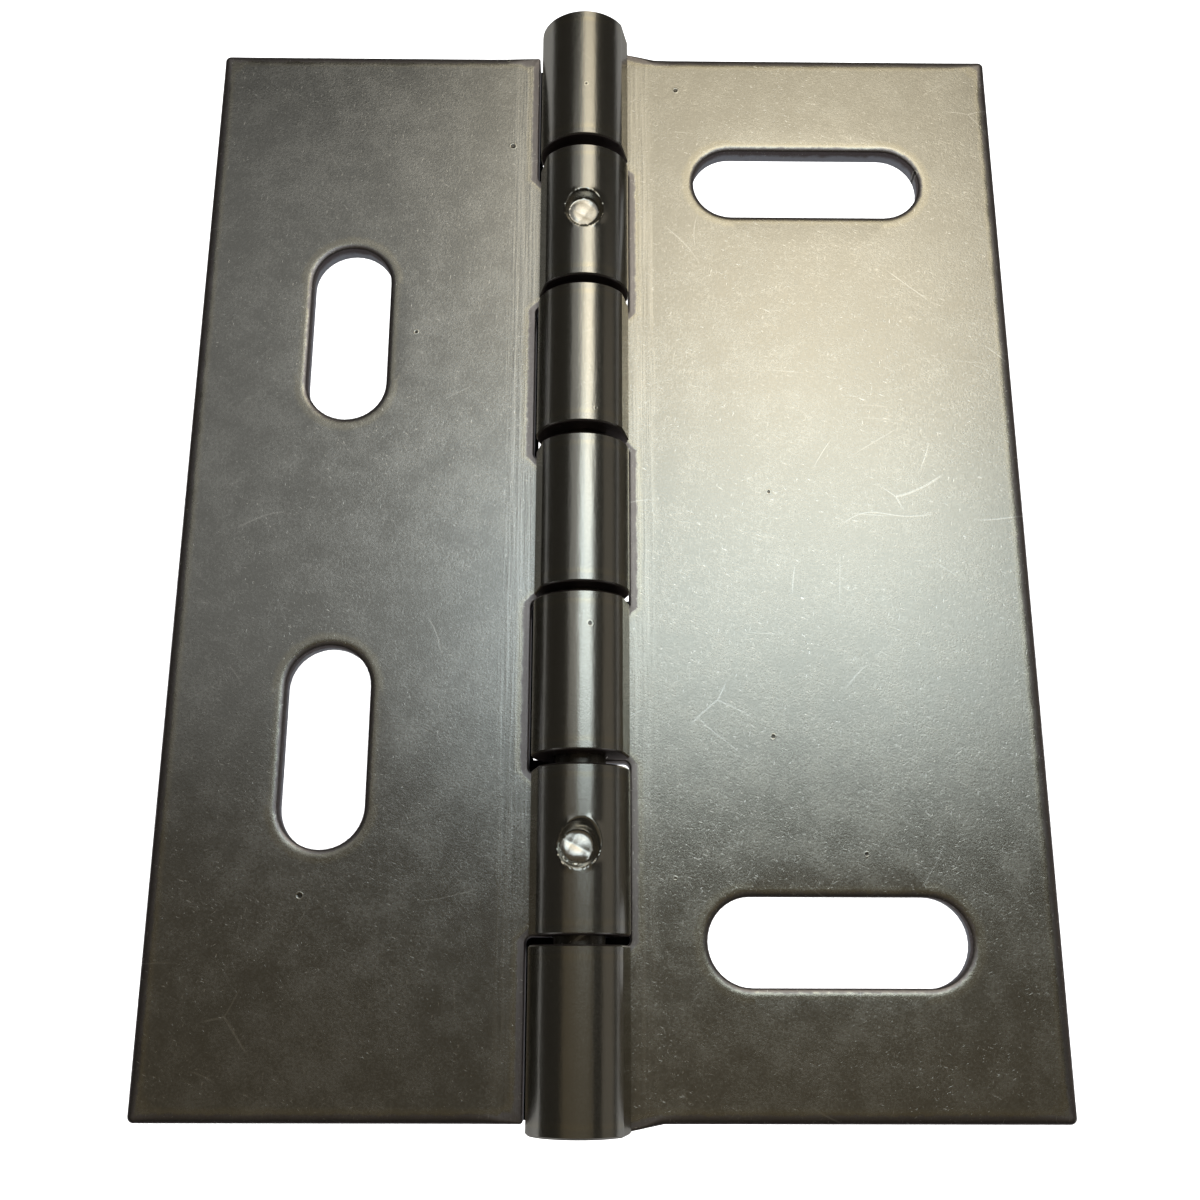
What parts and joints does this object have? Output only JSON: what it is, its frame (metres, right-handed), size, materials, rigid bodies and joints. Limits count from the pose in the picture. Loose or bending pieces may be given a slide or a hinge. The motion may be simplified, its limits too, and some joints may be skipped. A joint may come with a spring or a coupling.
{
  "type": "boat deck hinge",
  "caption": "Flat butt hinge of bent sheet steel: one narrow and one wide leaf with slots at right angles, rolled knuckles and a staked pin.",
  "frame": {"origin": "on the back plane of the open hinge, straight below the pin axis, at mid-length of the leaves", "axes": "+X across the open hinge from the pin towards the wide leaf, +Y along the pin, +Z from the back plane towards the barrel side"},
  "size_m": [0.114, 0.1516, 0.0125],
  "materials": {
    "narrow_leaf_steel": "bare mill-finish sheet steel, dull, finely scratched",
    "wide_leaf_steel": "bare mill-finish sheet steel, dull, finely scratched",
    "pin_steel": "bare drawn rod, dark and smooth"
  },
  "bodies": {
    "fixed_leaf": {"narrow_leaf": "narrow_leaf_steel", "hinge_pin": "pin_steel"},
    "swinging_leaf": {"wide_leaf": "wide_leaf_steel"}
  },
  "joints": [
    {"name": "leaf_swing", "type": "hinge", "parent": "fixed_leaf", "child": "swinging_leaf", "pos_m": [0, 0, 0.00625], "axis": [0, -1, 0], "range_deg": [-86, 186]}
  ]
}
